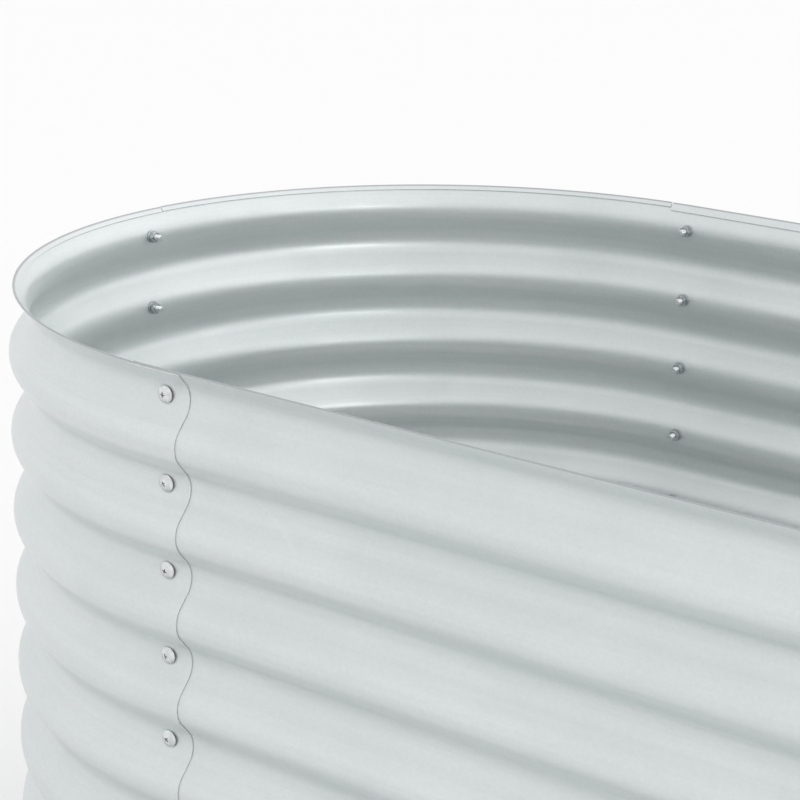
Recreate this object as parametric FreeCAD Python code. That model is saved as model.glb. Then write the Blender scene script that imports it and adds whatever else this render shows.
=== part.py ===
import FreeCAD, Part
import math
import os

from FreeCAD import Placement, Rotation, Vector

# A raised garden bed with no floor: a wall of corrugated galvanised sheet that follows a
# stadium-shaped path.  Two curved corner panels make each round end and one panel makes
# each long side.  Every seam is a lap of two sheets, with one screw in each outer valley,
# and a washer and a nut on the inside.
# Millimetres.  X runs along the bed, the front faces -Y, Z is up and the ground is Z = 0.

# ---- the bed -------------------------------------------------------------------------
BED_WIDTH = 800.0          # over the outer crests, from front to back
MODULE_LENGTH = 720.0      # one side panel, from seam line to seam line
BED_HEIGHT = 680.0         # ground to the top of the folded rim

# ---- the corrugated sheet ------------------------------------------------------------
PITCH = 72.0               # from one outer valley to the next
WAVE_DEPTH = 18.0          # from valley to crest, on one face of the sheet
FLANK_EASE = 0.75          # below 1, a straight flank joins the valley and crest arcs
SHEET = 0.8                # thickness
RIM_ABOVE_VALLEY = 24.0    # top of the rim above the highest valley

# ---- the folded safety rim -----------------------------------------------------------
SIDE_HEM = 9.5             # how far the fold comes down inside a side panel
CORNER_HEM = 6.0           # the same on a corner panel
HEM_GAP = 0.6              # air inside the fold

# ---- the laps ------------------------------------------------------------------------
LAP_REACH = 24.0           # how far a sheet runs on past its seam line
LAP_GAP = 0.2              # air between the two sheets of a lap
HEM_TRIM = 2.0             # the outer sheet's fold stops this far from the inner sheet

# ---- the fasteners -------------------------------------------------------------------
THREAD = 6.0               # outside diameter of the thread
SCREW_LENGTH = 16.0        # under the head
HEAD_WIDTH = 14.5
HEAD_RIM = 0.7             # the straight edge below the dome
HEAD_DOME = 3.0
RECESS_SPAN = 6.4          # the cross recess in the head
RECESS_SLOT = 1.3
RECESS_DEPTH = 2.2
THREAD_CHAMFER = 0.8
HOLE = 7.0                 # in the sheets
WASHER_WIDTH = 13.0
WASHER_BORE = 6.4
WASHER_THICK = 1.4
NUT_FLATS = 10.0
NUT_HEIGHT = 5.0
THREAD_CLEARANCE = 0.1     # between the nut and the screw, on the radius
SEAT_GAP = 0.1             # between a flat seat and the curved sheet
LOWEST_SCREW = 20.0        # least height of a screw above the ground
SCREW_TURN = 37.0          # each screw and nut stops at another angle, in degrees

# ---- worked out ----------------------------------------------------------------------
FLANK = 2.0 * math.atan(FLANK_EASE * 2.0 * WAVE_DEPTH / PITCH)
BEND = (PITCH / 2.0 * math.sin(FLANK) - WAVE_DEPTH * math.cos(FLANK)) / (2.0 - 2.0 * math.cos(FLANK))
LAP_STEP = SHEET + LAP_GAP                 # each sheet of a lap lies one step out
PATH_SHIFT = -LAP_STEP / 2.0               # keeps the back, one step out, in balance
VALLEY_RADIUS = BED_WIDTH / 2.0 - LAP_STEP / 2.0 - WAVE_DEPTH - SHEET / 2.0
TOP_VALLEY = BED_HEIGHT - RIM_ABOVE_VALLEY
LAP_ANGLE = math.degrees(LAP_REACH / VALLEY_RADIUS)
TRIM_ANGLE = math.degrees((LAP_REACH + HEM_TRIM) / VALLEY_RADIUS)
SCREW_ROWS = int((TOP_VALLEY - LOWEST_SCREW) / PITCH) + 1
HALF_LENGTH = MODULE_LENGTH / 2.0

# How many steps each sheet lies outside the front corner panels.
SIDE_FRONT = -1
CORNER_FRONT = 0
SIDE_BACK = 0
CORNER_BACK = 1

# Directions seen from above, in degrees from +X.
RIGHT, BACK, LEFT, FRONT = 0.0, 90.0, 180.0, 270.0


def flat(out, height):
    """A point of the wall's section: out from the path at the valleys, and above ground."""
    return Vector(VALLEY_RADIUS + out, 0, height)


def along(angle):
    """The unit vector in the section that leans outward by an angle from straight up."""
    return Vector(math.sin(angle), 0, math.cos(angle))


def wave(offset):
    """The edges of one face of the sheet, from the top flank down past the ground."""
    half_waves = math.ceil(TOP_VALLEY / (PITCH / 2.0)) + 1
    edges = []
    last = None
    for count in range(half_waves):
        height = TOP_VALLEY - count * PITCH / 2.0
        if count % 2 == 0:
            centre, radius, side = flat(BEND, height), BEND - offset, -1.0
        else:
            centre, radius, side = flat(WAVE_DEPTH - BEND, height), BEND + offset, 1.0
        rise = Vector(0, 0, radius * math.sin(FLANK))
        reach = Vector(side * radius * math.cos(FLANK), 0, 0)
        start = centre + reach + rise
        end = centre + reach - rise
        middle = centre + Vector(side * radius, 0, 0)
        if last:
            edges.append(Part.makeLine(last, start))
        edges.append(Part.Arc(start, middle, end).toShape())
        last = end
    return edges


def ends(edges):
    """The first and the last point of a run of edges that goes downward."""
    points = [vertex.Point for edge in edges for vertex in edge.Vertexes]
    by_height = sorted(points, key=lambda point: point.z)
    return by_height[-1], by_height[0]


def hemmed_top(outer, inner, hem):
    """The rim edges of a sheet whose top is folded over inward, from outer to inner face."""
    up = along(FLANK)
    across = along(FLANK - math.pi / 2.0)
    small = HEM_GAP / 2.0
    large = small + SHEET
    rise = (BED_HEIGHT - large - outer.z - across.z * large) / up.z
    centre = outer + up * rise + across * large
    leg = up * (hem - large)
    return [
        Part.makeLine(outer, centre - across * large),
        Part.Arc(centre - across * large, centre + up * large, centre + across * large).toShape(),
        Part.makeLine(centre + across * large, centre + across * large - leg),
        Part.makeLine(centre + across * large - leg, centre + across * small - leg),
        Part.makeLine(centre + across * small - leg, centre + across * small),
        Part.Arc(centre + across * small, centre + up * small, centre - across * small).toShape(),
        Part.makeLine(centre - across * small, inner),
    ]


def section(step, hem):
    """The closed section of a sheet that lies some lap steps out, with its hem."""
    outer_wave = wave(step * LAP_STEP + SHEET / 2.0)
    inner_wave = wave(step * LAP_STEP - SHEET / 2.0)
    outer_top, outer_foot = ends(outer_wave)
    inner_top, inner_foot = ends(inner_wave)
    top = hemmed_top(outer_top, inner_top, hem)
    foot = Part.makeLine(outer_foot, inner_foot)
    wire = Part.Wire(Part.__sortEdges__(outer_wave + inner_wave + top + [foot]))
    left, right = -2.0 * WAVE_DEPTH, 2.0 * WAVE_DEPTH
    ground = [flat(left, -PITCH), flat(right, -PITCH), flat(right, 0), flat(left, 0)]
    below = Part.Face(Part.makePolygon(ground + ground[:1]))
    return Part.Face(wire).cut(below).Faces[0]


def below_hem(step):
    """The section of a block that takes the fold off a sheet and leaves its flank."""
    outer_top = ends(wave(step * LAP_STEP + SHEET / 2.0))[0]
    up = along(FLANK)
    across = along(FLANK - math.pi / 2.0)
    middle = SHEET + HEM_GAP / 2.0
    rise = (BED_HEIGHT - 2.0 * SHEET - HEM_GAP - outer_top.z - across.z * middle) / up.z
    corner = outer_top + up * rise + across * middle
    width = across * (2.0 * middle)
    down = up * (SIDE_HEM + CORNER_HEM)
    points = [corner - width, corner, corner - down, corner - down + width]
    points += [corner + width + up * SIDE_HEM, corner - width + up * SIDE_HEM]
    return Part.Face(Part.makePolygon(points + points[:1]))


def end_centre(end_side):
    """The centre that the wall turns about at the left (-1) or the right (1) end."""
    return Vector(end_side * HALF_LENGTH, PATH_SHIFT, 0)


def bend(end_side, start, stop):
    """The wall's path round one end, between two directions seen from above."""
    points = []
    for direction in (start, (start + stop) / 2.0, stop):
        outward = Rotation(direction, 0, 0).multVec(Vector(VALLEY_RADIUS, 0, 0))
        points.append(end_centre(end_side) + outward)
    return Part.Arc(*points).toShape()


def run(direction, start, stop):
    """The wall's path along the front or the back, between two places in X."""
    outward = Rotation(direction, 0, 0).multVec(Vector(VALLEY_RADIUS, 0, 0))
    offset = outward + Vector(0, PATH_SHIFT, 0)
    return Part.makeLine(offset + Vector(start, 0, 0), offset + Vector(stop, 0, 0))


def swept(face, end_side, start, legs):
    """A section carried along its path, from a direction at one end."""
    placed = face.copy()
    placed.Placement = Placement(end_centre(end_side), Rotation(start, 0, 0))
    return Part.Wire(legs).makePipe(placed)


class Seam:
    """A vertical seam line: where it is, which way it faces and which sheets it joins."""

    def __init__(self, name, end_side, direction, inner_step, outer_step):
        self.name = name
        self.direction = direction
        self.inner = inner_step * LAP_STEP - SHEET / 2.0
        self.outer = outer_step * LAP_STEP + SHEET / 2.0
        self.valley = BEND - self.outer
        self.centre = end_centre(end_side)

    def place(self, row, out, turn=0.0):
        """Stands a piece drawn along +Z on the wall, pointing outward at one screw row."""
        spin = Rotation(Vector(0, 0, 1), turn)
        lie = Rotation(Vector(0, 1, 0), 90.0)
        face = Rotation(Vector(0, 0, 1), self.direction)
        offset = face.multVec(flat(out, TOP_VALLEY - row * PITCH))
        return Placement(self.centre + offset, face * lie * spin)

    def holes(self):
        """The drill through both sheets at every row."""
        depth = SHEET + LAP_STEP + HOLE
        drill = Part.makeCylinder(HOLE / 2.0, depth, Vector(0, 0, -depth / 2.0))
        middle = (self.inner + self.outer) / 2.0
        return self.group(drill, middle, 0.0)

    def group(self, piece, out, turn):
        """One copy of a piece at each screw row."""
        copies = []
        for row in range(SCREW_ROWS):
            copy = piece.copy()
            copy.Placement = self.place(row, out, turn * row)
            copies.append(copy)
        return Part.makeCompound(copies)


SEAMS = [
    Seam("front_left", -1, FRONT, SIDE_FRONT, CORNER_FRONT),
    Seam("front_right", 1, FRONT, SIDE_FRONT, CORNER_FRONT),
    Seam("back_left", -1, BACK, SIDE_BACK, CORNER_BACK),
    Seam("back_right", 1, BACK, SIDE_BACK, CORNER_BACK),
    Seam("end_left", -1, LEFT, CORNER_FRONT, CORNER_BACK),
    Seam("end_right", 1, RIGHT, CORNER_FRONT, CORNER_BACK),
]


def drilled(panel, names):
    """A panel with the screw holes of its seams."""
    drills = [seam.holes() for seam in SEAMS if seam.name in names]
    return panel.cut(drills).Solids[0]


def corner_panel(end_side, turn, step, apex_is_outer):
    """A quarter of the round wall, with a short straight tongue past its side seam."""
    apex = LEFT if end_side < 0 else RIGHT
    side = apex + turn * 90.0
    start = apex - turn * LAP_ANGLE
    seam_x = end_side * HALF_LENGTH
    tongue = end_side * (HALF_LENGTH - LAP_REACH)
    legs = [bend(end_side, start, side), run(side, seam_x, tongue)]
    wall = swept(section(step, CORNER_HEM), end_side, start, legs)
    trim = below_hem(step)
    trim_start = side - turn * TRIM_ANGLE
    trim_legs = [bend(end_side, trim_start, side), run(side, seam_x, tongue - end_side * HEM_TRIM)]
    wall = wall.cut(swept(trim, end_side, trim_start, trim_legs))
    if apex_is_outer:
        trim_start = apex - turn * TRIM_ANGLE
        trim_legs = [bend(end_side, trim_start, apex + turn * TRIM_ANGLE)]
        wall = wall.cut(swept(trim, end_side, trim_start, trim_legs))
    return wall


def side_panel(direction, turn, step):
    """A long straight wall whose two ends bend round with the corner panels."""
    start = direction - turn * LAP_ANGLE
    legs = [
        bend(-1, start, direction),
        run(direction, -HALF_LENGTH, HALF_LENGTH),
        bend(1, direction, direction + turn * LAP_ANGLE),
    ]
    return swept(section(step, SIDE_HEM), -1, start, legs)


def seat_height(seam):
    """How far the flat head stands off the bottom of the valley that it bridges."""
    half = HEAD_WIDTH / 2.0
    return seam.valley - math.sqrt(seam.valley ** 2 - half ** 2) + SEAT_GAP


def screw():
    """A low domed screw with a cross recess, along +Z, with its seat at the origin."""
    half = HEAD_WIDTH / 2.0
    thread = THREAD / 2.0
    dome = (half ** 2 + HEAD_DOME ** 2) / (2.0 * HEAD_DOME)
    rise = dome - math.sqrt(dome ** 2 - (half / 2.0) ** 2)
    top = Vector(0, 0, HEAD_RIM + HEAD_DOME)
    tip = -SCREW_LENGTH
    chain = [
        Vector(0, 0, tip),
        Vector(thread - THREAD_CHAMFER, 0, tip),
        Vector(thread, 0, tip + THREAD_CHAMFER),
        Vector(thread, 0, 0),
        Vector(half, 0, 0),
        Vector(half, 0, HEAD_RIM),
    ]
    edges = [Part.makeLine(first, second) for first, second in zip(chain, chain[1:])]
    shoulder = Vector(half / 2.0, 0, top.z - rise)
    edges.append(Part.Arc(chain[-1], shoulder, top).toShape())
    edges.append(Part.makeLine(top, chain[0]))
    body = Part.Face(Part.Wire(edges)).revolve(Vector(0, 0, 0), Vector(0, 0, 1), 360.0)
    for span, slot in ((RECESS_SPAN, RECESS_SLOT), (RECESS_SLOT, RECESS_SPAN)):
        corner = Vector(-span / 2.0, -slot / 2.0, top.z - RECESS_DEPTH)
        body = body.cut(Part.makeBox(span, slot, RECESS_DEPTH, corner))
    return body


def washer():
    """A flat washer below the origin, with its outer face at Z = 0."""
    disc = Part.makeCylinder(WASHER_WIDTH / 2.0, WASHER_THICK, Vector(0, 0, -WASHER_THICK))
    bore = Part.makeCylinder(WASHER_BORE / 2.0, WASHER_THICK, Vector(0, 0, -WASHER_THICK))
    return disc.cut(bore)


def nut():
    """A hexagon nut below the origin, with its corners turned off at both faces."""
    corner = NUT_FLATS / 2.0 / math.cos(math.pi / 6.0)
    points = []
    for count in range(7):
        angle = count * math.pi / 3.0
        points.append(Vector(corner * math.cos(angle), corner * math.sin(angle), -NUT_HEIGHT))
    hexagon = Part.Face(Part.makePolygon(points)).extrude(Vector(0, 0, NUT_HEIGHT))
    bore = THREAD / 2.0 + THREAD_CLEARANCE
    face = NUT_FLATS / 2.0
    drop = (corner - face) * math.tan(math.pi / 6.0)
    chain = [
        Vector(bore, 0, 0),
        Vector(face, 0, 0),
        Vector(corner, 0, -drop),
        Vector(corner, 0, drop - NUT_HEIGHT),
        Vector(face, 0, -NUT_HEIGHT),
        Vector(bore, 0, -NUT_HEIGHT),
    ]
    turned = Part.Face(Part.makePolygon(chain + chain[:1]))
    return hexagon.common(turned.revolve(Vector(0, 0, 0), Vector(0, 0, 1), 360.0))


def fasteners():
    """The screws, washers and nuts of every seam, keyed by node name."""
    one_screw, one_washer, one_nut = screw(), washer(), nut()
    nodes = {}
    for seam in SEAMS:
        washer_seat = seam.inner - SEAT_GAP
        nut_seat = washer_seat - WASHER_THICK
        under_head = seam.outer + seat_height(seam)
        nodes["seam_screws_" + seam.name] = seam.group(one_screw, under_head, SCREW_TURN)
        nodes["seam_washers_" + seam.name] = seam.group(one_washer, washer_seat, 0.0)
        nodes["seam_nuts_" + seam.name] = seam.group(one_nut, nut_seat, SCREW_TURN)
    return nodes


def build():
    """Every piece of the bed, keyed by node name."""
    nodes = {}
    for side, end_side in (("left", -1), ("right", 1)):
        front = corner_panel(end_side, -end_side, CORNER_FRONT, False)
        back = corner_panel(end_side, end_side, CORNER_BACK, True)
        nodes["corner_panel_front_" + side] = drilled(front, ["front_" + side, "end_" + side])
        nodes["corner_panel_back_" + side] = drilled(back, ["back_" + side, "end_" + side])
    front = side_panel(FRONT, 1, SIDE_FRONT)
    back = side_panel(BACK, -1, SIDE_BACK)
    nodes["side_panel_front"] = drilled(front, ["front_left", "front_right"])
    nodes["side_panel_back"] = drilled(back, ["back_left", "back_right"])
    nodes.update(fasteners())
    return nodes


os.makedirs("parts", exist_ok=True)
for name, shape in build().items():
    shape.exportStep("parts/" + name + ".step")
    print(name, len(shape.Solids), "solids", round(shape.Volume, 1), "mm3, valid", shape.isValid())
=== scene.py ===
import logging
import math
from dataclasses import dataclass, field
from enum import Enum

import bpy
from mathutils import Matrix, Vector


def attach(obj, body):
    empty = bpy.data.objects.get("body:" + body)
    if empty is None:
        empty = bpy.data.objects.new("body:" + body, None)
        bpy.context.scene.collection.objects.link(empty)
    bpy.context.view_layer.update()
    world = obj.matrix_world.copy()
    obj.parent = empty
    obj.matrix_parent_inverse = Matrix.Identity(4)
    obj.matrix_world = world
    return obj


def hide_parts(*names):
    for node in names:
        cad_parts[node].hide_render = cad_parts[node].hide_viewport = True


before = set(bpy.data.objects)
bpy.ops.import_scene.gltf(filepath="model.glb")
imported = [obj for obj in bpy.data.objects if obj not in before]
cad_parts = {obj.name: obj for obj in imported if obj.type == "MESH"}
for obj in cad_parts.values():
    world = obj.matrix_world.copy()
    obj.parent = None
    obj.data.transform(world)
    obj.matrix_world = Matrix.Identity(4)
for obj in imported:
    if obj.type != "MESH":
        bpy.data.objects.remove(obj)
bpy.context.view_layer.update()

log = logging.getLogger("garden_bed")


# ---- sizes of the bed, in metres ----


class Facing(Enum):
    """Where a seam or a long side faces, as an angle from +X seen from above."""

    RIGHT = 0.0
    BACK = math.pi / 2.0
    LEFT = math.pi
    FRONT = -math.pi / 2.0


@dataclass(frozen=True)
class BedPlan:
    """The sizes that all the sheets and fasteners share."""

    width: float = 0.800
    half_module: float = 0.360
    height: float = 0.680
    pitch: float = 0.072
    wave_depth: float = 0.018
    flank_ease: float = 0.75
    sheet: float = 0.0008
    rim_above_valley: float = 0.024
    hem_gap: float = 0.0002
    side_hem: float = 0.0095
    corner_hem: float = 0.0060
    lap_gap: float = 0.0002
    lap_reach: float = 0.024
    hem_trim: float = 0.002
    seat_gap: float = 0.0001
    lowest_screw: float = 0.020
    screw_hole: float = 0.007

    @property
    def lap_step(self) -> float:
        """How far the outer sheet of a lap lies outside the inner one."""
        return self.sheet + self.lap_gap

    @property
    def flank(self) -> float:
        """The lean of the straight flanks, from upright."""
        return 2.0 * math.atan(self.flank_ease * 2.0 * self.wave_depth / self.pitch)

    @property
    def bend(self) -> float:
        """The radius of the valley and crest arcs, at the middle of a sheet.

        Returns:
            The radius at which the arcs and the straight flanks meet.
        """
        rise = self.pitch / 2.0 * math.sin(self.flank)
        reach = self.wave_depth * math.cos(self.flank)
        return (rise - reach) / (2.0 - 2.0 * math.cos(self.flank))

    @property
    def valley_radius(self) -> float:
        """The radius of the round ends at the valleys, at the middle of a front corner sheet."""
        return self.width / 2.0 - self.lap_step / 2.0 - self.wave_depth - self.sheet / 2.0

    @property
    def top_valley(self) -> float:
        """The height of the highest valley, where the first screws are."""
        return self.height - self.rim_above_valley

    @property
    def rows(self) -> int:
        """How many screws a seam has."""
        return int((self.top_valley - self.lowest_screw) / self.pitch) + 1

    @property
    def lap_angle(self) -> float:
        """How far round an end a sheet runs on past its seam."""
        return self.lap_reach / self.valley_radius

    @property
    def trim_angle(self) -> float:
        """How far round an end, past a seam, the outer sheet has no fold."""
        return (self.lap_reach + self.hem_trim) / self.valley_radius

    def end_centre(self, side: int) -> Vector:
        """The middle of the left (-1) or the right (1) round end."""
        return Vector((side * self.half_module, -self.lap_step / 2.0, 0.0))


PLAN = BedPlan()


# ---- modelling steps ----


def select_only(*pieces: bpy.types.Object) -> None:
    """Leaves object mode current and these pieces alone selected, the first one active.

    Args:
        *pieces: The pieces to select.
    """
    if bpy.context.object and bpy.context.object.mode != "OBJECT":
        bpy.ops.object.mode_set(mode="OBJECT")
    bpy.ops.object.select_all(action="DESELECT")
    for piece in pieces:
        piece.select_set(True)
    bpy.context.view_layer.objects.active = pieces[0] if pieces else None


def start_outline(name: str, place: Vector) -> bpy.types.Object:
    """Draws a small plane together into one point, from which an outline is drawn.

    Args:
        name: The piece's name.
        place: Where the point is.

    Returns:
        The piece, in edit mode, with the point selected.
    """
    select_only()
    bpy.ops.mesh.primitive_plane_add(size=0.001, location=(0.0, 0.0, 0.0))
    piece = bpy.context.object
    piece.name = name
    bpy.ops.object.mode_set(mode="EDIT")
    bpy.ops.mesh.select_all(action="SELECT")
    bpy.ops.mesh.merge(type="CENTER")
    bpy.ops.mesh.select_all(action="SELECT")
    bpy.ops.transform.translate(value=place)
    return piece


def draw_by(step: Vector) -> None:
    """Extrudes what is selected by a straight step."""
    bpy.ops.mesh.extrude_region_move(TRANSFORM_OT_translate={"value": step})


def draw_round(centre: Vector, axis: Vector, angle: float, facets: int) -> None:
    """Spins what is selected round an axis, right-handed.

    Args:
        centre: A point of the axis.
        axis: The axis.
        angle: How far, in radians.
        facets: How many facets the arc gets.
    """
    bpy.ops.mesh.spin(steps=facets, angle=-angle, center=centre, axis=axis)


def set_in_place(piece: bpy.types.Object, place: Matrix) -> None:
    """Puts a piece's place into its mesh, and leaves the object at the origin.

    Args:
        piece: The piece.
        place: Where its mesh goes.
    """
    select_only(piece)
    piece.matrix_world = place
    bpy.ops.object.transform_apply(location=True, rotation=True, scale=True)


def close_up(piece: bpy.types.Object, nearer_than: float = 2e-6) -> None:
    """Merges doubled points and turns the faces outward.

    Args:
        piece: The piece.
        nearer_than: Points nearer than this become one.
    """
    select_only(piece)
    bpy.ops.object.mode_set(mode="EDIT")
    bpy.ops.mesh.select_all(action="SELECT")
    bpy.ops.mesh.remove_doubles(threshold=nearer_than)
    bpy.ops.mesh.normals_make_consistent(inside=False)
    bpy.ops.object.mode_set(mode="OBJECT")


def use_modifier(piece: bpy.types.Object, kind: str, **settings: object) -> None:
    """Adds a modifier with its settings, and applies it.

    Args:
        piece: The piece.
        kind: The modifier's type.
        **settings: Its properties.
    """
    select_only(piece)
    modifier = piece.modifiers.new(kind.title(), kind)
    for key, value in settings.items():
        setattr(modifier, key, value)
    bpy.ops.object.modifier_apply(modifier=modifier.name)


def carve(
    piece: bpy.types.Object, cutter: bpy.types.Object, operation: str = "DIFFERENCE", solver: str = "EXACT",
) -> None:
    """Cuts a piece with another one, or keeps what both hold, and deletes the other one.

    Args:
        piece: The piece to change.
        cutter: The piece to change it with.
        operation: The Boolean operation.
        solver: The Boolean solver.
    """
    use_modifier(piece, "BOOLEAN", object=cutter, operation=operation, solver=solver)
    bpy.data.objects.remove(cutter, do_unlink=True)


def shade(piece: bpy.types.Object, sharper_than: float = 35.0) -> None:
    """Shades a piece smooth, apart from edges that turn by more than an angle in degrees."""
    select_only(piece)
    bpy.ops.object.shade_smooth_by_angle(angle=math.radians(sharper_than))


def lathe(name: str, outline: list[tuple[float, float]], facets: int) -> bpy.types.Object:
    """Turns an outline about the Z axis into a closed shape.

    Args:
        name: The piece's name.
        outline: Points, as the distance from the axis and the height. Both ends are on
            the axis, or the last point is the first.
        facets: How many facets the full turn gets.

    Returns:
        The closed shape, in object mode.
    """
    points = [Vector((radius, 0.0, height)) for radius, height in outline]
    piece = start_outline(name, points[0])
    for here, there in zip(points, points[1:]):
        draw_by(there - here)
    bpy.ops.mesh.select_all(action="SELECT")
    draw_round(Vector((0.0, 0.0, 0.0)), Vector((0.0, 0.0, 1.0)), 2.0 * math.pi, facets)
    close_up(piece)
    return piece


def dress(piece: bpy.types.Object, finish: bpy.types.Material, slot: str, *nodes: str) -> None:
    """Gives a piece its finish and says which solids of the frame it stands for.

    Args:
        piece: The finished piece.
        finish: Its material.
        slot: Not used.
        *nodes: The nodes that it replaces.
    """
    if piece.data.materials:
        piece.data.materials[0] = finish
    else:
        piece.data.materials.append(finish)
    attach(piece, "root")
    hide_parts(*nodes)
    log.info("%s: %d faces, stands for %s", piece.name, len(piece.data.polygons), ", ".join(nodes))


# ---- surface effects that several finishes share ----


class NodeBench:
    """A node tree, with short ways to add nodes and join them."""

    def __init__(self, tree: bpy.types.NodeTree) -> None:
        """Keeps the tree."""
        self.tree = tree

    def add(self, kind: str, **settings: object) -> bpy.types.Node:
        """Adds a node.

        Args:
            kind: The node's type, without its "ShaderNode".
            **settings: Values of its inputs, with spaces as underscores, or of its properties.

        Returns:
            The node.
        """
        node = self.tree.nodes.new("ShaderNode" + kind)
        for key, value in settings.items():
            label = key.replace("_", " ")
            if label in node.inputs:
                self.feed(value, node.inputs[label])
            else:
                setattr(node, key, value)
        return node

    def feed(self, value: object, socket: bpy.types.NodeSocket) -> None:
        """Links a socket to an input, or sets the input to a value.

        Args:
            value: The socket or the value.
            socket: The input.
        """
        if isinstance(value, bpy.types.NodeSocket):
            self.tree.links.new(value, socket)
        else:
            socket.default_value = value

    def sum(self, operation: str, first: object, second: object) -> bpy.types.NodeSocket:
        """One step of arithmetic.

        Args:
            operation: The Math node's operation.
            first: A socket or a number.
            second: A socket or a number.

        Returns:
            The result.
        """
        node = self.add("Math", operation=operation)
        self.feed(first, node.inputs[0])
        self.feed(second, node.inputs[1])
        return node.outputs[0]

    def blend(self, mask: object, first: object, second: object, how: str = "MIX") -> bpy.types.NodeSocket:
        """Mixes two colours.

        Args:
            mask: How much of the second, as a socket or a number.
            first: A colour or its socket.
            second: A colour or its socket.
            how: The blend type.

        Returns:
            The mixed colour.
        """
        node = self.add("Mix", data_type="RGBA", blend_type=how)
        for index, value in ((0, mask), (6, first), (7, second)):
            self.feed(value, node.inputs[index])
        return node.outputs[2]

    def spread(
        self, value: bpy.types.NodeSocket, low: float, high: float, start: float = 0.0, end: float = 1.0,
    ) -> bpy.types.NodeSocket:
        """Maps one range onto another, with soft ends.

        Args:
            value: What is mapped.
            low: The value that gives start.
            high: The value that gives end.
            start: The result at low and below.
            end: The result at high and above.

        Returns:
            The result.
        """
        node = self.add("MapRange", interpolation_type="SMOOTHSTEP", Value=value)
        for label, number in (("From Min", low), ("From Max", high), ("To Min", start), ("To Max", end)):
            node.inputs[label].default_value = number
        return node.outputs["Result"]

    def effect(self, tree: bpy.types.NodeTree, **settings: object) -> bpy.types.Node:
        """Places a shared effect with its own values.

        Args:
            tree: The effect's node group.
            **settings: Its inputs.

        Returns:
            The group node.
        """
        node = self.add("Group", node_tree=tree)
        for label, value in settings.items():
            self.feed(value, node.inputs[label])
        return node


def new_effect(
    name: str, numbers: dict[str, float], results: tuple[str, ...],
) -> tuple[NodeBench, bpy.types.Node, bpy.types.Node]:
    """Starts a node group that reads a place and some numbers and gives some values.

    Args:
        name: The group's name.
        numbers: Its number inputs and what they are unless they are set.
        results: The names of its results.

    Returns:
        The bench, the group's input node and its output node.
    """
    tree = bpy.data.node_groups.new(name, "ShaderNodeTree")
    tree.interface.new_socket(name="Place", in_out="INPUT", socket_type="NodeSocketVector")
    for label, value in numbers.items():
        socket = tree.interface.new_socket(name=label, in_out="INPUT", socket_type="NodeSocketFloat")
        socket.default_value = value
    for label in results:
        tree.interface.new_socket(name=label, in_out="OUTPUT", socket_type="NodeSocketFloat")
    return NodeBench(tree), tree.nodes.new("NodeGroupInput"), tree.nodes.new("NodeGroupOutput")


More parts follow.
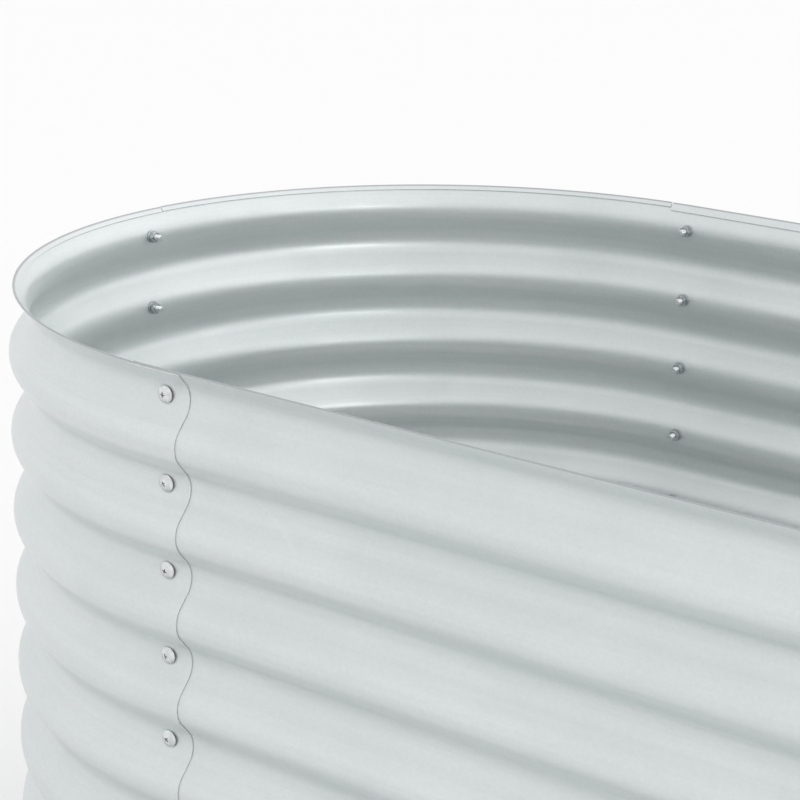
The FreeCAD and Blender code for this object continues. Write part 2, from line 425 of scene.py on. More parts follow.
class SurfaceEffects:
    """The effects that more than one finish uses, each built once."""

    LINE_DRIFT = 2.2
    CLOUD_RANGE = (0.32, 0.70)
    SCUFF_BEND = (0.10, 0.10, 0.10)
    SCUFF_TILT = (0.0, 0.35, 0.2)
    SCUFF_DRAW = (4.0, 4.0, 90.0)
    SCUFF_RANGE = (0.70, 0.76)
    PATCH_RANGE = (0.54, 0.66)

    def __init__(self) -> None:
        """Builds the node groups."""
        self.rolling = self.build_rolling()
        self.bloom = self.build_bloom()
        self.frost = self.build_frost()
        self.scuffs = self.build_scuffs()

    def build_rolling(self) -> bpy.types.NodeTree:
        """Builds the long faint lines that rolls leave along a sheet.

        Returns:
            The node group.
        """
        bench, given, result = new_effect("rolling_lines", {"Fineness": 700.0}, ("Line",))
        axes = bench.add("SeparateXYZ", Vector=given.outputs["Place"])
        height = bench.sum("MULTIPLY", axes.outputs["Z"], given.outputs["Fineness"])
        along = bench.sum("MULTIPLY", axes.outputs["X"], self.LINE_DRIFT)
        across = bench.sum("MULTIPLY", axes.outputs["Y"], self.LINE_DRIFT)
        long_place = bench.add("CombineXYZ", X=along, Y=across, Z=height)
        noise = bench.add("TexNoise", Vector=long_place.outputs[0], Scale=1.0, Detail=3.0, Roughness=0.65)
        bench.feed(noise.outputs["Fac"], result.inputs["Line"])
        return bench.tree

    def build_bloom(self) -> bpy.types.NodeTree:
        """Builds soft clouds where the zinc has dulled a little more or less.

        Returns:
            The node group.
        """
        bench, given, result = new_effect("zinc_bloom", {"Size": 7.0}, ("Cloud",))
        noise = bench.add(
            "TexNoise", Vector=given.outputs["Place"], Scale=given.outputs["Size"],
            Detail=4.0, Roughness=0.55, Distortion=0.4,
        )
        bench.feed(bench.spread(noise.outputs["Fac"], *self.CLOUD_RANGE), result.inputs["Cloud"])
        return bench.tree

    def build_frost(self) -> bpy.types.NodeTree:
        """Builds the fine frosted grain of a zinc coat without large spangle.

        Returns:
            The node group.
        """
        bench, given, result = new_effect("zinc_frost", {"Fineness": 420.0}, ("Grain", "Fleck"))
        place, fineness = given.outputs["Place"], given.outputs["Fineness"]
        cells = bench.add("TexVoronoi", Vector=place, Scale=fineness)
        tones = bench.add("SeparateColor", Color=cells.outputs["Color"])
        noise = bench.add("TexNoise", Vector=place, Scale=fineness, Detail=2.0, Roughness=0.6)
        bench.feed(noise.outputs["Fac"], result.inputs["Grain"])
        bench.feed(tones.outputs[0], result.inputs["Fleck"])
        return bench.tree

    def build_scuffs(self) -> bpy.types.NodeTree:
        """Builds sparse thin scuffs, in patches, from packing and putting together.

        Returns:
            The node group.
        """
        bench, given, result = new_effect("handling_scuffs", {"Amount": 0.5}, ("Scuff",))
        place = given.outputs["Place"]
        warp = bench.add("TexNoise", Vector=place, Scale=9.0, Detail=2.0)
        bent = bench.add("VectorMath", operation="MULTIPLY_ADD")
        bench.feed(warp.outputs["Color"], bent.inputs[0])
        bench.feed(self.SCUFF_BEND, bent.inputs[1])
        bench.feed(place, bent.inputs[2])
        thin = bench.add(
            "Mapping", Vector=bent.outputs[0], Rotation=self.SCUFF_TILT, Scale=self.SCUFF_DRAW,
        )
        lines = bench.add("TexNoise", Vector=thin.outputs[0], Scale=1.0, Detail=1.0)
        patches = bench.add("TexNoise", Vector=place, Scale=5.0, Detail=1.0)
        sharp = bench.spread(lines.outputs["Fac"], *self.SCUFF_RANGE)
        where = bench.spread(patches.outputs["Fac"], *self.PATCH_RANGE)
        both = bench.sum("MULTIPLY", sharp, where)
        bench.feed(bench.sum("MULTIPLY", both, given.outputs["Amount"]), result.inputs["Scuff"])
        return bench.tree


# ---- finishes ----


def new_finish(name: str) -> tuple[bpy.types.Material, NodeBench, bpy.types.Node]:
    """Starts a material.

    Args:
        name: The material's name.

    Returns:
        The material, its bench and its Principled shader.
    """
    material = bpy.data.materials.new(name)
    material.use_nodes = True
    return material, NodeBench(material.node_tree), material.node_tree.nodes["Principled BSDF"]


@dataclass(frozen=True)
class SheetFinish:
    """Satin galvanised sheet."""

    name: str
    tone: tuple[float, float, float] = (0.658, 0.691, 0.691)
    dull: tuple[float, float, float] = (0.640, 0.678, 0.678)
    scuff: tuple[float, float, float] = (0.78, 0.80, 0.80)
    # The dark rim tone below is painted shade along the top of the rolled rim, where the hem lies in shade.
    bent: tuple[float, float, float] = (0.38, 0.40, 0.41)
    roughness: float = 0.45
    uneven: float = 0.03
    flecks: float = 0.015
    lines: float = 0.012
    line_range: tuple[float, float] = (0.3, 0.7)
    line_roughness: float = 0.02
    bands: float = 0.02
    band_range: tuple[float, float] = (0.35, 0.65)
    band_roughness: float = 0.04
    band_fineness: float = 150.0
    scuffing: float = 0.15
    # How far below the rim top, in metres, the painted rim shade fades in and is full.
    rim_shade_band: tuple[float, float] = (0.0016, 0.0006)
    metallic: float = 0.65
    coat: float = 0.20
    coat_roughness: float = 0.08
    grain_height: float = 0.000006

    def build(self, effects: SurfaceEffects) -> bpy.types.Material:
        """Builds the material.

        Args:
            effects: The shared effects.

        Returns:
            The material.
        """
        material, bench, shader = new_finish(self.name)
        place = bench.add("TexCoord").outputs["Object"]
        line = bench.effect(effects.rolling, Place=place).outputs["Line"]
        band = bench.effect(effects.rolling, Place=place, Fineness=self.band_fineness).outputs["Line"]
        cloud = bench.effect(effects.bloom, Place=place).outputs["Cloud"]
        frost = bench.effect(effects.frost, Place=place)
        scuff = bench.effect(effects.scuffs, Place=place, Amount=self.scuffing).outputs["Scuff"]
        fleck = bench.spread(frost.outputs["Fleck"], 0.0, 1.0, 1.0 - self.flecks, 1.0 + self.flecks)
        streak = bench.spread(line, *self.line_range, 1.0 - self.lines, 1.0 + self.lines)
        soft = bench.spread(band, *self.band_range, 1.0 - self.bands, 1.0 + self.bands)
        grey = bench.sum("MULTIPLY", bench.sum("MULTIPLY", fleck, streak), soft)
        grey_tone = bench.add("CombineColor", Red=grey, Green=grey, Blue=grey)
        tone = bench.blend(cloud, (*self.tone, 1.0), (*self.dull, 1.0))
        tone = bench.blend(1.0, tone, grey_tone.outputs[0], "MULTIPLY")
        tone = bench.blend(scuff, tone, (*self.scuff, 1.0))
        # Painted shade: the top of the rim fold is blended towards the dark rim tone, standing in for the
        # shade of the rolled hem.
        height = bench.add("SeparateXYZ", Vector=place).outputs["Z"]
        lowest, highest = self.rim_shade_band
        fold = bench.spread(height, PLAN.height - lowest, PLAN.height - highest)
        tone = bench.blend(fold, tone, (*self.bent, 1.0))
        bench.feed(tone, shader.inputs["Base Color"])
        rough = bench.spread(cloud, 0.0, 1.0, self.roughness - self.uneven, self.roughness + self.uneven)
        by_line = bench.spread(line, *self.line_range, -self.line_roughness, self.line_roughness)
        by_band = bench.spread(band, *self.band_range, -self.band_roughness, self.band_roughness)
        rough = bench.sum("ADD", bench.sum("ADD", rough, by_line), by_band)
        bench.feed(rough, shader.inputs["Roughness"])
        shader.inputs["Metallic"].default_value = self.metallic
        shader.inputs["Coat Weight"].default_value = self.coat
        shader.inputs["Coat Roughness"].default_value = self.coat_roughness
        grain = bench.add("Bump", Strength=0.4, Distance=self.grain_height, Height=frost.outputs["Grain"])
        drawn = bench.add(
            "Bump", Strength=0.3, Distance=self.grain_height, Height=line, Normal=grain.outputs[0],
        )
        bench.feed(drawn.outputs[0], shader.inputs["Normal"])
        return material


@dataclass(frozen=True)
class CutEdgeFinish:
    """The sheared edge of the sheet, where the steel shows grey under the zinc."""

    name: str
    tone: tuple[float, float, float] = (0.72, 0.74, 0.74)
    smear: tuple[float, float, float] = (0.82, 0.84, 0.84)
    smear_size: float = 300.0
    smear_polish: float = 0.15
    roughness: float = 0.5
    grain_fineness: float = 3000.0
    grain_height: float = 0.00002

    def build(self, effects: SurfaceEffects) -> bpy.types.Material:
        """Builds the material.

        Args:
            effects: The shared effects.

        Returns:
            The material.
        """
        material, bench, shader = new_finish(self.name)
        place = bench.add("TexCoord").outputs["Object"]
        cloud = bench.effect(effects.bloom, Place=place, Size=self.smear_size).outputs["Cloud"]
        frost = bench.effect(effects.frost, Place=place, Fineness=self.grain_fineness)
        bench.feed(bench.blend(cloud, (*self.tone, 1.0), (*self.smear, 1.0)), shader.inputs["Base Color"])
        rough = bench.spread(cloud, 0.0, 1.0, self.roughness, self.roughness - self.smear_polish)
        bench.feed(rough, shader.inputs["Roughness"])
        shader.inputs["Metallic"].default_value = 1.0
        bump = bench.add("Bump", Strength=0.5, Distance=self.grain_height, Height=frost.outputs["Grain"])
        bench.feed(bump.outputs[0], shader.inputs["Normal"])
        return material


@dataclass(frozen=True)
class FastenerFinish:
    """Bright zinc plate on small pressed and turned steel."""

    name: str
    tone: tuple[float, float, float] = (0.74, 0.76, 0.76)
    dull: tuple[float, float, float] = (0.60, 0.62, 0.62)
    roughness: float = 0.24
    polish: float = 0.06
    wear: float = 0.10
    cloud_size: float = 240.0
    grain_fineness: float = 2600.0
    grain_height: float = 0.00001

    def build(self, effects: SurfaceEffects) -> bpy.types.Material:
        """Builds the material.

        Args:
            effects: The shared effects.

        Returns:
            The material.
        """
        material, bench, shader = new_finish(self.name)
        place = bench.add("TexCoord").outputs["Object"]
        cloud = bench.effect(effects.bloom, Place=place, Size=self.cloud_size).outputs["Cloud"]
        frost = bench.effect(effects.frost, Place=place, Fineness=self.grain_fineness)
        bench.feed(bench.blend(cloud, (*self.tone, 1.0), (*self.dull, 1.0)), shader.inputs["Base Color"])
        smooth, worn = self.roughness - self.polish, self.roughness + self.wear
        rough = bench.spread(frost.outputs["Fleck"], 0.0, 1.0, smooth, worn)
        bench.feed(rough, shader.inputs["Roughness"])
        shader.inputs["Metallic"].default_value = 1.0
        bump = bench.add("Bump", Strength=0.3, Distance=self.grain_height, Height=frost.outputs["Grain"])
        bench.feed(bump.outputs[0], shader.inputs["Normal"])
        return material


# ---- the corrugated panels ----


@dataclass(frozen=True)
class Leg:
    """A stretch of the wall's path: round an end, or straight along a side if side is 0."""

    side: int
    start: float
    stop: float
    folded: bool = True
    facing: float = 0.0

    STRAIGHT_FACET = 0.06
    ROUND_FACET = math.radians(1.5)

    @property
    def facets(self) -> int:
        """How many facets the stretch gets."""
        finest = self.STRAIGHT_FACET if self.side == 0 else self.ROUND_FACET
        return max(1, round(abs(self.stop - self.start) / finest))

    def start_place(self) -> Matrix:
        """Where an outline drawn out along +X starts this stretch.

        Returns:
            The place.
        """
        if self.side == 0:
            centre = Vector((self.start, -PLAN.lap_step / 2.0, 0.0))
            return Matrix.Translation(centre) @ Matrix.Rotation(self.facing, 4, "Z")
        return Matrix.Translation(PLAN.end_centre(self.side)) @ Matrix.Rotation(self.start, 4, "Z")

    def carry(self) -> None:
        """Carries the selected outline along the stretch."""
        if self.side == 0:
            step = Vector(((self.stop - self.start) / self.facets, 0.0, 0.0))
            for _ in range(self.facets):
                draw_by(step)
        else:
            upright = Vector((0.0, 0.0, 1.0))
            draw_round(PLAN.end_centre(self.side), upright, self.stop - self.start, self.facets)


@dataclass
class Panel:
    """A corrugated sheet with a folded rim, drawn in section and carried along its path."""

    name: str
    node: str
    slot: str
    step: int
    hem: float
    seams: tuple[str, ...]
    legs: list[Leg]
    arc_facets: int = 14
    fold_facets: int = 8
    drill_facets: int = 24
    drill_length: float = 0.009

    def section(self, folded: bool) -> bpy.types.Object:
        """Draws the middle line of the sheet, from the ground up to its rim.

        Args:
            folded: Whether the rim has its fold, or is cut off below it.

        Returns:
            The outline, in edit mode.
        """
        offset = self.step * PLAN.lap_step
        half_wave = PLAN.pitch / 2.0
        round_out = Vector((0.0, 1.0, 0.0))
        piece = None
        top = Vector()
        for count in range(math.ceil(PLAN.top_valley / half_wave), -1, -1):
            height = PLAN.top_valley - count * half_wave
            way = -1.0 if count % 2 == 0 else 1.0
            radius = PLAN.bend + way * offset
            middle = PLAN.bend if way < 0.0 else PLAN.wave_depth - PLAN.bend
            centre = Vector((PLAN.valley_radius + middle, 0.0, height))
            low = -PLAN.flank
            if height + radius * math.sin(PLAN.flank) < 0.0:
                continue
            if height + radius * math.sin(low) < 0.0:
                low = -math.asin(height / radius)
            foot = centre + Vector((way * radius * math.cos(low), 0.0, radius * math.sin(low)))
            if piece is None:
                piece = start_outline(self.name, foot)
            else:
                draw_by(foot - top)
            turn = PLAN.flank - low
            facets = max(2, round(self.arc_facets * turn / (2.0 * PLAN.flank)))
            draw_round(centre, round_out, -way * turn, facets)
            reach = way * radius * math.cos(PLAN.flank)
            top = centre + Vector((reach, 0.0, radius * math.sin(PLAN.flank)))
        self.draw_rim(top, folded)
        return piece

    def draw_rim(self, foot: Vector, folded: bool) -> None:
        """Goes on up the last flank, and over and down the fold.

        Args:
            foot: The upper end of the highest valley's arc.
            folded: Whether the fold is drawn.
        """
        up = Vector((math.sin(PLAN.flank), 0.0, math.cos(PLAN.flank)))
        inward = Vector((-up.z, 0.0, up.x))
        fold = (PLAN.hem_gap + PLAN.sheet) / 2.0
        outside = fold + PLAN.sheet / 2.0
        rise = (PLAN.height - outside - foot.z - inward.z * fold) / up.z
        cut = rise - outside / up.z
        draw_by(up * cut)
        if folded:
            draw_by(up * (rise - cut))
            centre = foot + up * rise + inward * fold
            draw_round(centre, Vector((0.0, -1.0, 0.0)), math.pi, self.fold_facets)
            draw_by(up * (outside - self.hem))

    def build(self) -> bpy.types.Object:
        """Models the panel.

        Returns:
            The finished sheet.
        """
        stretches = []
        for leg in self.legs:
            stretch = self.section(leg.folded)
            set_in_place(stretch, leg.start_place())
            bpy.ops.object.mode_set(mode="EDIT")
            bpy.ops.mesh.select_all(action="SELECT")
            leg.carry()
            bpy.ops.object.mode_set(mode="OBJECT")
            stretches.append(stretch)
        select_only(*stretches)
        if len(stretches) > 1:
            bpy.ops.object.join()
        sheet = stretches[0]
        sheet.name = self.name
        close_up(sheet, nearer_than=2e-5)
        return sheet

    def thicken(self, sheet: bpy.types.Object, finish: bpy.types.Material, edge: bpy.types.Material) -> None:
        """Gives the sheet its thickness, its finishes and its place in the part.

        Args:
            sheet: The sheet's middle.
            finish: The material of its faces.
            edge: The material of its cut edges.
        """
        sheet.data.materials.append(finish)
        sheet.data.materials.append(edge)
        use_modifier(
            sheet, "SOLIDIFY", thickness=PLAN.sheet, offset=0.0,
            use_even_offset=True, use_rim=True, material_offset_rim=1,
        )
        self.flatten_foot(sheet)
        for seam in SEAMS:
            if seam.name in self.seams:
                carve(sheet, self.drills(seam), solver="FAST")
        shade(sheet, sharper_than=40.0)
        dress(sheet, finish, self.slot, self.node)

    def drills(self, seam: "Seam") -> bpy.types.Object:
        """Models the drills for the screw holes of one seam.

        Args:
            seam: The seam.

        Returns:
            The row of drills, as one piece.
        """
        select_only()
        bpy.ops.mesh.primitive_cylinder_add(
            vertices=self.drill_facets, radius=PLAN.screw_hole / 2.0, depth=self.drill_length,
        )
        drill = bpy.context.object
        row = seam.fit("drills", drill, out=0.0, turn=0.0)
        bpy.data.objects.remove(drill, do_unlink=True)
        return row

    def flatten_foot(self, sheet: bpy.types.Object) -> None:
        """Presses the lower edge of the thickened sheet level with the ground.

        Args:
            sheet: The thickened sheet.
        """
        select_only(sheet)
        bpy.ops.object.mode_set(mode="EDIT")
        bpy.ops.mesh.select_mode(type="VERT")
        bpy.ops.mesh.select_all(action="DESELECT")
        bpy.ops.object.mode_set(mode="OBJECT")
        for point in sheet.data.vertices:
            point.select = point.co.z < PLAN.sheet
        bpy.ops.object.mode_set(mode="EDIT")
        bpy.ops.transform.resize(value=(1.0, 1.0, 0.0), center_override=(0.0, 0.0, 0.0))
        bpy.ops.object.mode_set(mode="OBJECT")


def corner_legs(side: int, turn: int, apex_outside: bool) -> list[Leg]:
    """The path of a corner panel, from the middle of a round end to a long side.

    Args:
        side: The left (-1) or the right (1) end.
        turn: 1 if the path goes round right-handed, seen from above.
        apex_outside: Whether the panel is the outer one at the middle of the end.

    Returns:
        The stretches of the path, with the fold left off where another fold lies inside.
    """
    apex = (Facing.LEFT if side < 0 else Facing.RIGHT).value
    flat = apex + turn * math.pi / 2.0
    legs = []
    start = apex - turn * PLAN.lap_angle
    if apex_outside:
        clear = apex + turn * PLAN.trim_angle
        legs.append(Leg(side, start, clear, folded=False))
        start = clear
    trim = flat - turn * PLAN.trim_angle
    legs.append(Leg(side, start, trim))
    legs.append(Leg(side, trim, flat, folded=False))
    seam = side * PLAN.half_module
    legs.append(Leg(0, seam, seam - side * PLAN.lap_reach, folded=False, facing=flat))
    return legs


def side_legs(facing: Facing) -> list[Leg]:
    """The path of a side panel, with its ends bent round beside the corner panels.

    Args:
        facing: Where the side faces.

    Returns:
        The stretches of the path.
    """
    turn = 1.0 if facing is Facing.FRONT else -1.0
    middle = facing.value
    lap = turn * PLAN.lap_angle
    half = PLAN.half_module
    return [
        Leg(-1, middle - lap, middle),
        Leg(0, -half, half, facing=middle),
        Leg(1, middle, middle + lap),
    ]


def all_panels() -> list[Panel]:
    """Lists the six panels of the bed.

    Returns:
        The four corner panels and the two side panels.
    """
    panels = []
    for word, side in (("left", -1), ("right", 1)):
        for face, turn, step in (("front", -side, 0), ("back", side, 1)):
            panels.append(
                Panel(
                    f"{face}_{word}_corner_sheet", f"corner_panel_{face}_{word}", "corner_sheet",
                    step, PLAN.corner_hem, (f"{face}_{word}", f"end_{word}"),
                    corner_legs(side, turn, face == "back"),
                )
            )
    for face, facing, step in (("front", Facing.FRONT, -1), ("back", Facing.BACK, 0)):
        panels.append(
            Panel(
                f"{face}_side_sheet", f"side_panel_{face}", "side_sheet",
                step, PLAN.side_hem, (f"{face}_left", f"{face}_right"), side_legs(facing),
            )
        )
    return panels


# ---- the fasteners ----


@dataclass(frozen=True)
class TrussScrew:
    """A low domed screw with a cross recess, along +Z, with its seat at the origin."""

    thread: float = 0.006
    lead: float = 0.001
    thread_depth: float = 0.00055
    run_out: float = 0.0013
    length: float = 0.016
    head: float = 0.0145
    rim: float = 0.0007
    dome: float = 0.0030
    recess_span: float = 0.0064
    recess_slot: float = 0.0013
    recess_depth: float = 0.0022
    recess_taper: tuple[float, float] = (0.45, 0.6)
    chamfer: float = 0.0008
    dome_rings: int = 6
    facets: int = 32
    thread_facets: int = 14

    def build(self) -> bpy.types.Object:
        """Models one screw.

        Returns:
            The screw.
        """
        half = self.head / 2.0
        ball = (half ** 2 + self.dome ** 2) / (2.0 * self.dome)
        under = self.chamfer / 4.0
        outline = [(0.0, 0.0), (half - under, 0.0), (half, under), (half, self.rim)]
        for ring in range(1, self.dome_rings + 1):
            radius = half * math.cos(math.pi / 2.0 * ring / self.dome_rings)
            if ring == self.dome_rings:
                radius = 0.0
            height = self.rim + math.sqrt(ball ** 2 - radius ** 2) - ball + self.dome
            outline.append((radius, height))
        head = lathe("screw", outline, self.facets)
        for turn in (0.0, math.pi / 2.0):
            carve(head, self.recess_wing(turn))
        carve(head, self.threaded_shank(), "UNION")
        close_up(head)
        shade(head, sharper_than=30.0)
        return head

    def recess_wing(self, turn: float) -> bpy.types.Object:
        """Models one wing of the driver, narrower at its bottom.

        Args:
            turn: Its turn about the screw's axis.

        Returns:
            The cutter.
        """
        select_only()
        top = self.rim + self.dome
        bpy.ops.mesh.primitive_cube_add(size=1.0, location=(0.0, 0.0, top))
        wing = bpy.context.object
        wing.dimensions = (self.recess_span, self.recess_slot, 2.0 * self.recess_depth)
        bpy.ops.object.transform_apply(location=True, rotation=True, scale=True)
        bpy.ops.object.mode_set(mode="EDIT")
        bpy.ops.mesh.select_mode(type="FACE")
        bpy.ops.mesh.select_all(action="DESELECT")
        bpy.ops.object.mode_set(mode="OBJECT")
        for face in wing.data.polygons:
            face.select = face.center.z < top - self.recess_depth / 2.0
        bpy.ops.object.mode_set(mode="EDIT")
        bpy.ops.transform.resize(value=(*self.recess_taper, 1.0))
        bpy.ops.mesh.select_mode(type="VERT")
        bpy.ops.object.mode_set(mode="OBJECT")
        set_in_place(wing, Matrix.Rotation(turn, 4, "Z"))
        return wing

    def threaded_shank(self) -> bpy.types.Object:
        """Models the thread as one winding ridge, and turns its tip off.

        Returns:
            The closed shank, which reaches a little way up into the head.
        """
        crest = self.thread / 2.0
        root = crest - self.thread_depth
        turns = math.ceil(self.length / self.lead) + 2
        tooth = Vector((self.thread_depth, 0.0, self.lead / 2.0))
        shank = start_outline("shank", Vector((root, 0.0, 0.0)))
        draw_by(tooth)
        draw_by(Vector((-tooth.x, 0.0, tooth.z)))
        bpy.ops.mesh.select_all(action="SELECT")
        bpy.ops.mesh.screw(
            steps=self.thread_facets, turns=turns, center=(0.0, 0.0, 0.0), axis=(0.0, 0.0, 1.0),
        )
        bpy.ops.mesh.select_all(action="SELECT")
        bpy.ops.mesh.remove_doubles(threshold=1e-6)
        bpy.ops.object.mode_set(mode="OBJECT")
        lowest = min(point.co.z for point in shank.data.vertices)
        drop = -self.length - lowest - self.run_out
        set_in_place(shank, Matrix.Translation((0.0, 0.0, drop)))
        bpy.ops.object.mode_set(mode="EDIT")
        for height, way in ((self.rim / 2.0, 1.0), (-self.length, -1.0)):
            bpy.ops.mesh.select_all(action="SELECT")
            bpy.ops.mesh.bisect(
                plane_co=(0.0, 0.0, height), plane_no=(0.0, 0.0, way), use_fill=True, clear_outer=True,
            )
        bpy.ops.object.mode_set(mode="OBJECT")
        close_up(shank)
        tip = -self.length - self.lead
        past = crest + self.lead
        cone = lathe("tip", [
            (0.0, tip), (crest - self.chamfer - self.lead, tip), (past, tip + 2.0 * self.lead + self.chamfer),
            (past, self.rim), (0.0, self.rim),
        ], self.facets)
        carve(shank, cone, "INTERSECT")
        return shank


@dataclass(frozen=True)
class FlatWasher:
    """A stamped washer below the origin, with its outer face at Z = 0."""

    width: float = 0.013
    bore: float = 0.0064
    thick: float = 0.0014
    rounding: float = 0.00035
    roundness: float = 0.3
    facets: int = 32

    def build(self) -> bpy.types.Object:
        """Models one washer, with the rounded edge that stamping leaves on one side.

        Returns:
            The washer.
        """
        wide, hole, soft, under = self.width / 2.0, self.bore / 2.0, self.rounding, -self.thick
        edge, burr, knee = soft / 2.0, soft / 3.0, soft * self.roundness
        outline = [
            (hole, -edge), (hole + edge, 0.0), (wide - burr, 0.0), (wide, -burr), (wide, under + soft),
            (wide - knee, under + knee), (wide - soft, under), (hole + soft, under), (hole, under + soft),
            (hole, -edge),
        ]
        washer = lathe("washer", outline, self.facets)
        shade(washer, sharper_than=50.0)
        return washer


@dataclass(frozen=True)
class HexNut:
    """A hexagon nut below the origin, with its corners turned off at both faces."""

    flats: float = 0.010
    height: float = 0.005
    bore: float = 0.0061
    countersink: float = 0.0005
    face_share: float = 0.97
    turned_past: float = 0.0002
    facets: int = 48

    def build(self) -> bpy.types.Object:
        """Models one nut.

        Returns:
            The nut.
        """
        slope = math.pi / 6.0
        corner = self.flats / 2.0 / math.cos(slope)
        face = self.flats / 2.0 * self.face_share
        drop = (corner - face) * math.tan(slope)
        hole, sink, tall, past = self.bore / 2.0, self.countersink, self.height, self.turned_past
        ring = lathe("nut", [
            (hole, -sink), (hole + sink, 0.0), (face, 0.0), (corner + past, -drop - past),
            (corner + past, drop + past - tall), (face, -tall), (hole + sink, -tall), (hole, sink - tall),
            (hole, -sink),
        ], self.facets)
        select_only()
        bpy.ops.mesh.primitive_cylinder_add(
            vertices=6, radius=corner, depth=tall + 2.0 * past, location=(0.0, 0.0, -tall / 2.0),
        )
        prism = bpy.context.object
        bpy.ops.object.transform_apply(location=True, rotation=True, scale=True)
        carve(ring, prism, "INTERSECT")
        close_up(ring)
        shade(ring, sharper_than=25.0)
        return ring


@dataclass(frozen=True)
class Seam:
    """A vertical row of fasteners: where it is, which way it faces and what it joins."""

    name: str
    side: int
    facing: Facing
    inner_step: int
    outer_step: int
    turn: float = math.radians(37.0)

    @property
    def inside(self) -> float:
        """How far out the inner face of the inner sheet is, at the valleys."""
        return self.inner_step * PLAN.lap_step - PLAN.sheet / 2.0

    @property
    def outside(self) -> float:
        """How far out the outer face of the outer sheet is, at the valleys."""
        return self.outer_step * PLAN.lap_step + PLAN.sheet / 2.0

    def under_head(self, head: float) -> float:
        """How far out a flat head of some width sits, bridging the bottom of the valley."""
        valley = PLAN.bend - self.outside
        return self.outside + valley - math.sqrt(valley ** 2 - (head / 2.0) ** 2) + PLAN.seat_gap

    def place(self, row: int, out: float, turn: float) -> Matrix:
        """Where a piece drawn along +Z stands, pointing out of the wall.

        Args:
            row: The screw row, from the top.
            out: How far out from the wall's path.
            turn: The piece's turn about its own axis.

        Returns:
            The place.
        """
        spot = Vector((PLAN.valley_radius + out, 0.0, PLAN.top_valley - row * PLAN.pitch))
        outward = Matrix.Translation(PLAN.end_centre(self.side)) @ Matrix.Rotation(self.facing.value, 4, "Z")
        lie = Matrix.Rotation(math.pi / 2.0, 4, "Y") @ Matrix.Rotation(turn, 4, "Z")
        return outward @ Matrix.Translation(spot) @ lie

    def fit(self, kind: str, master: bpy.types.Object, out: float, turn: float) -> bpy.types.Object:
        """Copies a fastener to every row of the seam.

        Args:
            kind: What the fasteners are, for the piece's name.
            master: The fastener to copy.
            out: How far out it sits.
            turn: How far each one is turned from the one above it.

        Returns:
            The row of fasteners as one piece.
        """
        copies = []
        for row in range(PLAN.rows):
            copy = master.copy()
            copy.data = master.data.copy()
            bpy.context.scene.collection.objects.link(copy)
            set_in_place(copy, self.place(row, out, turn * row))
            copies.append(copy)
        select_only(*copies)
        bpy.ops.object.join()
        copies[0].name = f"{self.name}_{kind}"
        return copies[0]


SEAMS = (
    Seam("front_left", -1, Facing.FRONT, -1, 0),
    Seam("front_right", 1, Facing.FRONT, -1, 0),
    Seam("back_left", -1, Facing.BACK, 0, 1),
    Seam("back_right", 1, Facing.BACK, 0, 1),
    Seam("end_left", -1, Facing.LEFT, 0, 1),
    Seam("end_right", 1, Facing.RIGHT, 0, 1),
)

# Painted shade: washers and nuts get a darker zinc than the screws, standing in for the shade they sit in
# inside the bed.
INSIDE_SHADE_ZINC = ((0.56, 0.60, 0.61), (0.40, 0.43, 0.44))


@dataclass
class FastenerRows:
    """The screws, washers and nuts of all the seams."""

    screw: TrussScrew = field(default_factory=TrussScrew)
    washer: FlatWasher = field(default_factory=FlatWasher)
    nut: HexNut = field(default_factory=HexNut)

    def build(self, effects: SurfaceEffects) -> None:
        """Models each fastener once, copies it to its rows and dresses the rows.

        Args:
            effects: The shared surface effects.
        """
        kinds = (
            ("screws", "screw", self.screw, FastenerFinish("screw_zinc")),
            # Washers and nuts take the darker zinc, painted shade for the inside of the bed.
            ("washers", "washer", self.washer, FastenerFinish("washer_zinc", *INSIDE_SHADE_ZINC, roughness=0.32)),
            ("nuts", "nut", self.nut, FastenerFinish("nut_zinc", *INSIDE_SHADE_ZINC, roughness=0.28)),
        )
        for kind, slot, maker, finish in kinds:
            master = maker.build()
            material = finish.build(effects)
            for seam in SEAMS:
                washer_seat = seam.inside - PLAN.seat_gap
                out = {
                    "screws": seam.under_head(self.screw.head),
                    "washers": washer_seat,
                    "nuts": washer_seat - self.washer.thick,
                }[kind]
                turn = 0.0 if kind == "washers" else seam.turn
                row = seam.fit(kind, master, out, turn)
                dress(row, material, slot, f"seam_{kind}_{seam.name}")
            bpy.data.objects.remove(master, do_unlink=True)


# ---- the studio ----


@dataclass(frozen=True)
class PhotoCamera:
    """The camera that took the photograph, as its screws, rim and outline give it (degrees)."""

    place: tuple[float, float, float] = (0.8390, -1.6420, 1.1775)
    azimuth: float = 37.677
    elevation: float = 16.822
    roll: float = 1.058
    focal_pixels: float = 2358.5
    picture_pixels: float = 800.0
    sensor_width: float = 36.0
    far_clip: float = 100.0

    def build(self) -> None:
        """Adds the camera and makes it the scene's own."""
        select_only()
        bpy.ops.object.camera_add(location=self.place)
        camera = bpy.context.object
        camera.name = "photo_camera"
        camera.data.sensor_width = self.sensor_width
        camera.data.lens = self.focal_pixels / self.picture_pixels * self.sensor_width
        azimuth, elevation = math.radians(self.azimuth), math.radians(self.elevation)
        away = Vector((math.sin(azimuth), -math.cos(azimuth), 0.0)) * math.cos(elevation)
        back = away + Vector((0.0, 0.0, math.sin(elevation)))
        right = Vector((math.cos(azimuth), math.sin(azimuth), 0.0))
        level = Matrix((right, back.cross(right), back)).transposed()
        turned = level @ Matrix.Rotation(math.radians(self.roll), 3, "Z")
        camera.rotation_euler = turned.to_euler()
        camera.data.clip_end = self.far_clip
        bpy.context.scene.camera = camera


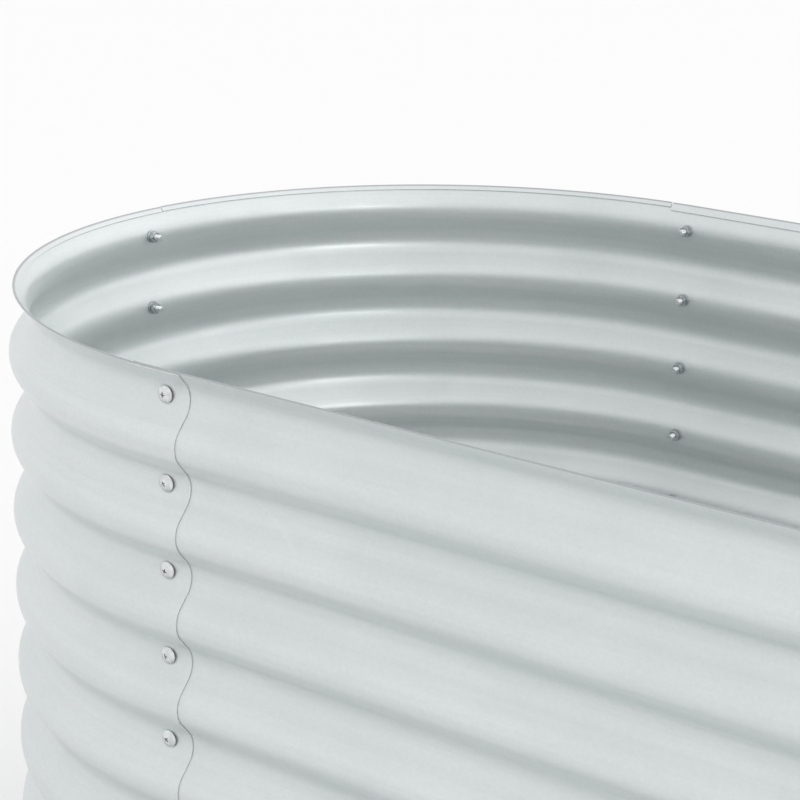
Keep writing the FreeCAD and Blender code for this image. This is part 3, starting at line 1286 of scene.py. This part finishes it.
@dataclass(frozen=True)
class SoftBox:
    """A soft rectangular lamp that looks at a point."""

    name: str
    place: tuple[float, float, float]
    target: tuple[float, float, float]
    size: tuple[float, float]
    power: float

    def build(self) -> None:
        """Adds the lamp."""
        select_only()
        bpy.ops.object.light_add(type="AREA", location=self.place)
        lamp = bpy.context.object
        lamp.name = self.name
        lamp.data.shape = "RECTANGLE"
        lamp.data.size, lamp.data.size_y = self.size
        lamp.data.energy = self.power
        lamp.visible_camera = False
        look = Vector(self.target) - Vector(self.place)
        lamp.rotation_euler = look.to_track_quat("-Z", "Y").to_euler()


@dataclass(frozen=True)
class Studio:
    """A plain pale room: a floor, an even sky and one soft lamp."""

    floor_size: float = 40.0
    floor_tone: tuple[float, float, float] = (0.84, 0.84, 0.84)
    sky: float = 1.05
    bright_side: float = 1.45
    bright_way: tuple[float, float, float] = (0.70, 0.60, 0.38)
    bright_range: tuple[float, float] = (0.3, 0.95)
    strip: SoftBox = SoftBox(
        "right_strip", place=(2.3, -0.96, 1.35), target=(-0.67, 0.24, 0.6), size=(1.1, 0.2), power=8.0,
    )

    def build(self) -> None:
        """Builds the floor, the sky, the lamp and the camera."""
        self.lay_floor()
        self.light_sky()
        self.strip.build()
        PhotoCamera().build()
        bpy.context.scene.view_settings.view_transform = "Standard"

    def lay_floor(self) -> None:
        """Lays the floor."""
        select_only()
        bpy.ops.mesh.primitive_plane_add(size=self.floor_size, location=(0.0, 0.0, 0.0))
        floor = bpy.context.object
        floor.name = "studio_floor"
        material, _, shader = new_finish("floor_paper")
        shader.inputs["Base Color"].default_value = (*self.floor_tone, 1.0)
        shader.inputs["Roughness"].default_value = 0.9
        shader.inputs["Specular IOR Level"].default_value = 0.1
        floor.data.materials.append(material)

    def light_sky(self) -> None:
        """Lights the room evenly from all round, a little more from one side."""
        world = bpy.data.worlds.new("white_room")
        world.use_nodes = True
        bpy.context.scene.world = world
        bench = NodeBench(world.node_tree)
        towards = bench.add("VectorMath", operation="DOT_PRODUCT")
        bench.feed(bench.add("TexCoord").outputs["Generated"], towards.inputs[0])
        bench.feed(self.bright_way, towards.inputs[1])
        level = bench.spread(towards.outputs["Value"], *self.bright_range, self.sky, self.bright_side)
        lamp = world.node_tree.nodes["Background"]
        lamp.inputs["Color"].default_value = (1.0, 1.0, 1.0, 1.0)
        bench.feed(level, lamp.inputs["Strength"])


# ---- all together ----


def main() -> None:
    """Builds the bed piece by piece, then the studio."""
    logging.basicConfig(level=logging.INFO, format="%(message)s")
    effects = SurfaceEffects()
    edge = CutEdgeFinish("cut_edge_steel").build(effects)
    finishes = {
        "corner_sheet": SheetFinish("corner_galvanised").build(effects),
        "side_sheet": SheetFinish("side_galvanised").build(effects),
    }
    for panel in all_panels():
        panel.thicken(panel.build(), finishes[panel.slot], edge)
    FastenerRows().build(effects)
    Studio().build()


if __name__ == "__main__":
    main()
